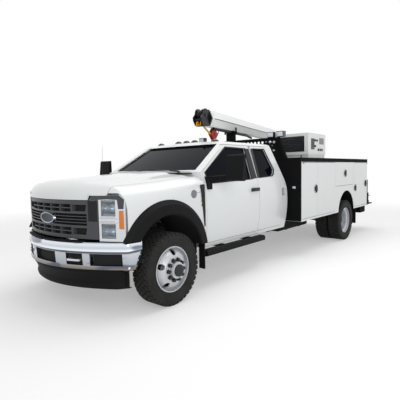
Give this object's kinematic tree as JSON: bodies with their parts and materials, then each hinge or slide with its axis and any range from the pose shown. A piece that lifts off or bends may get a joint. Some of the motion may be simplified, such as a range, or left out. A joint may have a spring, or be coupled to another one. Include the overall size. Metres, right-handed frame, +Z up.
{
  "type": "service crane truck",
  "caption": "Extended-cab truck with a service body of side lockers, a guard rack, a welding set and a swivelling telescopic crane on its rear corner, with dual rear wheels.",
  "frame": {"origin": "on the ground, at the middle of the truck's length and width", "axes": "+X forward along the length, +Y to the driver's left, +Z up"},
  "size_m": [7.567, 2.85, 2.4249],
  "materials": {
    "white_paint": "gloss",
    "black_paint": "satin",
    "frame_black": "matt",
    "bed_liner": "rough",
    "dark_moulding": "grained",
    "grille_grey": "satin",
    "bumper_chrome": "polished",
    "lamp_chrome": "polished",
    "lamp_plastic": "clear lens",
    "wheel_silver": "satin",
    "tyre_rubber": "matt",
    "dark_glass": "tinted",
    "cab_cloth": "woven",
    "axle_iron": "painted",
    "engine_iron": "bare",
    "red_paint": "gloss",
    "rod_chrome": "polished",
    "vise_iron": "painted"
  },
  "bodies": {
    "chassis": {"frame_rails": "frame_black", "front_axle": "axle_iron", "rear_axle": "axle_iron", "engine_block": "engine_iron", "cab_shell": "white_paint", "cab_glass": "dark_glass", "cab_interior": "cab_cloth", "front_fenders": "white_paint", "fender_flares": "dark_moulding", "grille": "grille_grey", "headlamps": "lamp_chrome", "front_bumper": "bumper_chrome", "air_dam": "dark_moulding", "running_boards": "dark_moulding", "side_pack_left": "white_paint", "side_pack_right": "white_paint", "bed_floor": "bed_liner", "top_rails": "bed_liner", "headache_rack": "bed_liner", "lamps": "lamp_plastic", "welder": "white_paint", "rear_bumper": "bed_liner", "bench_vise": "vise_iron", "crane_pedestal": "black_paint"},
    "hood": {"hood": "white_paint"},
    "crane_mast": {"crane_mast": "white_paint"},
    "main_boom": {"main_boom": "white_paint"},
    "boom_extension_1": {"boom_extension_1": "white_paint"},
    "boom_extension_2": {"boom_extension_2": "black_paint", "hook_block": "red_paint"},
    "lift_barrel": {"lift_barrel": "black_paint"},
    "lift_rod": {"lift_rod": "rod_chrome"},
    "knuckle_left": {"knuckle_left": "axle_iron"},
    "wheel_front_left": {"wheel_front_left": "wheel_silver", "tyre_front_left": "tyre_rubber"},
    "wheels_rear_left": {"wheels_rear_left": "wheel_silver", "tyres_rear_left": "tyre_rubber"},
    "door_front_left": {"door_front_left": "white_paint", "glass_front_left": "dark_glass", "mirror_left": "dark_moulding"},
    "door_rear_left": {"door_rear_left": "white_paint", "glass_rear_left": "dark_glass"},
    "body_door_front_left": {"body_door_front_left": "white_paint"},
    "body_door_middle_left": {"body_door_middle_left": "white_paint"},
    "body_door_shelf_left": {"body_door_shelf_left": "white_paint"},
    "body_door_rear_left": {"body_door_rear_left": "white_paint"},
    "knuckle_right": {"knuckle_right": "axle_iron"},
    "wheel_front_right": {"wheel_front_right": "wheel_silver", "tyre_front_right": "tyre_rubber"},
    "wheels_rear_right": {"wheels_rear_right": "wheel_silver", "tyres_rear_right": "tyre_rubber"},
    "door_front_right": {"door_front_right": "white_paint", "glass_front_right": "dark_glass", "mirror_right": "dark_moulding"},
    "door_rear_right": {"door_rear_right": "white_paint", "glass_rear_right": "dark_glass"},
    "body_door_front_right": {"body_door_front_right": "white_paint"},
    "body_door_middle_right": {"body_door_middle_right": "white_paint"},
    "body_door_shelf_right": {"body_door_shelf_right": "white_paint"},
    "body_door_rear_right": {"body_door_rear_right": "white_paint"}
  },
  "joints": [
    {"name": "steer_left", "type": "hinge", "parent": "chassis", "child": "knuckle_left", "pos_m": [2.8135, 0.8, 0.405], "axis": [0, 0, 1], "range_deg": [-35, 35]},
    {"name": "spin_front_left", "type": "hinge", "parent": "knuckle_left", "child": "wheel_front_left", "pos_m": [2.8135, 0.95, 0.405], "axis": [0, 1, 0], "continuous": true},
    {"name": "spin_rear_left", "type": "hinge", "parent": "chassis", "child": "wheels_rear_left", "pos_m": [-2.0635, 0.94, 0.405], "axis": [0, 1, 0], "continuous": true},
    {"name": "door_front_left_hinge", "type": "hinge", "parent": "chassis", "child": "door_front_left", "pos_m": [2.1465, 0.992, 1.1], "axis": [0, 0, -1], "range_deg": [0, 65]},
    {"name": "door_rear_left_hinge", "type": "hinge", "parent": "chassis", "child": "door_rear_left", "pos_m": [0.2505, 0.992, 1.1], "axis": [0, 0, 1], "range_deg": [0, 80]},
    {"name": "body_door_front_left_hinge", "type": "hinge", "parent": "chassis", "child": "body_door_front_left", "pos_m": [-0.0565, 1.192, 1.1], "axis": [0, 0, -1], "range_deg": [0, 105]},
    {"name": "body_door_middle_left_hinge", "type": "hinge", "parent": "chassis", "child": "body_door_middle_left", "pos_m": [-1.4505, 1.192, 1.1], "axis": [0, 0, 1], "range_deg": [0, 90]},
    {"name": "body_door_shelf_left_hinge", "type": "hinge", "parent": "chassis", "child": "body_door_shelf_left", "pos_m": [-1.9575, 1.192, 1.57], "axis": [1, 0, 0], "range_deg": [0, 95]},
    {"name": "body_door_rear_left_hinge", "type": "hinge", "parent": "chassis", "child": "body_door_rear_left", "pos_m": [-3.3155, 1.192, 1.1], "axis": [0, 0, 1], "range_deg": [0, 105]},
    {"name": "steer_right", "type": "hinge", "parent": "chassis", "child": "knuckle_right", "pos_m": [2.8135, -0.8, 0.405], "axis": [0, 0, 1], "range_deg": [-35, 35]},
    {"name": "spin_front_right", "type": "hinge", "parent": "knuckle_right", "child": "wheel_front_right", "pos_m": [2.8135, -0.95, 0.405], "axis": [0, 1, 0], "continuous": true},
    {"name": "spin_rear_right", "type": "hinge", "parent": "chassis", "child": "wheels_rear_right", "pos_m": [-2.0635, -0.94, 0.405], "axis": [0, 1, 0], "continuous": true},
    {"name": "door_front_right_hinge", "type": "hinge", "parent": "chassis", "child": "door_front_right", "pos_m": [2.1465, -0.992, 1.1], "axis": [0, 0, 1], "range_deg": [0, 65]},
    {"name": "door_rear_right_hinge", "type": "hinge", "parent": "chassis", "child": "door_rear_right", "pos_m": [0.2505, -0.992, 1.1], "axis": [0, 0, -1], "range_deg": [0, 80]},
    {"name": "body_door_front_right_hinge", "type": "hinge", "parent": "chassis", "child": "body_door_front_right", "pos_m": [-0.0565, -1.192, 1.1], "axis": [0, 0, 1], "range_deg": [0, 105]},
    {"name": "body_door_middle_right_hinge", "type": "hinge", "parent": "chassis", "child": "body_door_middle_right", "pos_m": [-1.4505, -1.192, 1.1], "axis": [0, 0, -1], "range_deg": [0, 90]},
    {"name": "body_door_shelf_right_hinge", "type": "hinge", "parent": "chassis", "child": "body_door_shelf_right", "pos_m": [-1.9575, -1.192, 1.57], "axis": [-1, 0, 0], "range_deg": [0, 95]},
    {"name": "body_door_rear_right_hinge", "type": "hinge", "parent": "chassis", "child": "body_door_rear_right", "pos_m": [-3.3155, -1.192, 1.1], "axis": [0, 0, -1], "range_deg": [0, 105]},
    {"name": "hood_hinge", "type": "hinge", "parent": "chassis", "child": "hood", "pos_m": [2.2685, 0, 1.43], "axis": [0, -1, 0], "range_deg": [0, 45]},
    {"name": "crane_slew", "type": "hinge", "parent": "chassis", "child": "crane_mast", "pos_m": [-3.0365, -0.93, 1.89], "axis": [0, 0, 1], "range_deg": [-200, 200]},
    {"name": "boom_lift", "type": "hinge", "parent": "crane_mast", "child": "main_boom", "pos_m": [-3.18217, -0.96578, 2.295], "axis": [0.2385, -0.9711, 0], "range_deg": [0, 80]},
    {"name": "boom_extend_1", "type": "slide", "parent": "main_boom", "child": "boom_extension_1", "axis": [0.9711, 0.2385, 0], "range_m": [0, 1.8]},
    {"name": "boom_extend_2", "type": "slide", "parent": "boom_extension_1", "child": "boom_extension_2", "axis": [0.9711, 0.2385, 0], "range_m": [0, 1.8]},
    {"name": "lift_barrel_hinge", "type": "hinge", "parent": "crane_mast", "child": "lift_barrel", "pos_m": [-2.89083, -0.89422, 2], "axis": [0.2385, -0.9711, 0], "range_deg": [0, 79.5]},
    {"name": "lift_rod_slide", "type": "slide", "parent": "lift_barrel", "child": "lift_rod", "axis": [0.9618, 0.2362, 0.1387], "range_m": [0, 0.545]}
  ],
  "couplings": [
    {"joint": "steer_right", "follows": "steer_left", "ratio": 1},
    {"joint": "boom_extend_2", "follows": "boom_extend_1", "ratio": 1},
    {"joint": "lift_barrel_hinge", "follows": "boom_lift", "ratio": 0.987},
    {"joint": "lift_rod_slide", "follows": "boom_lift", "m_per_rad": 0.387}
  ]
}
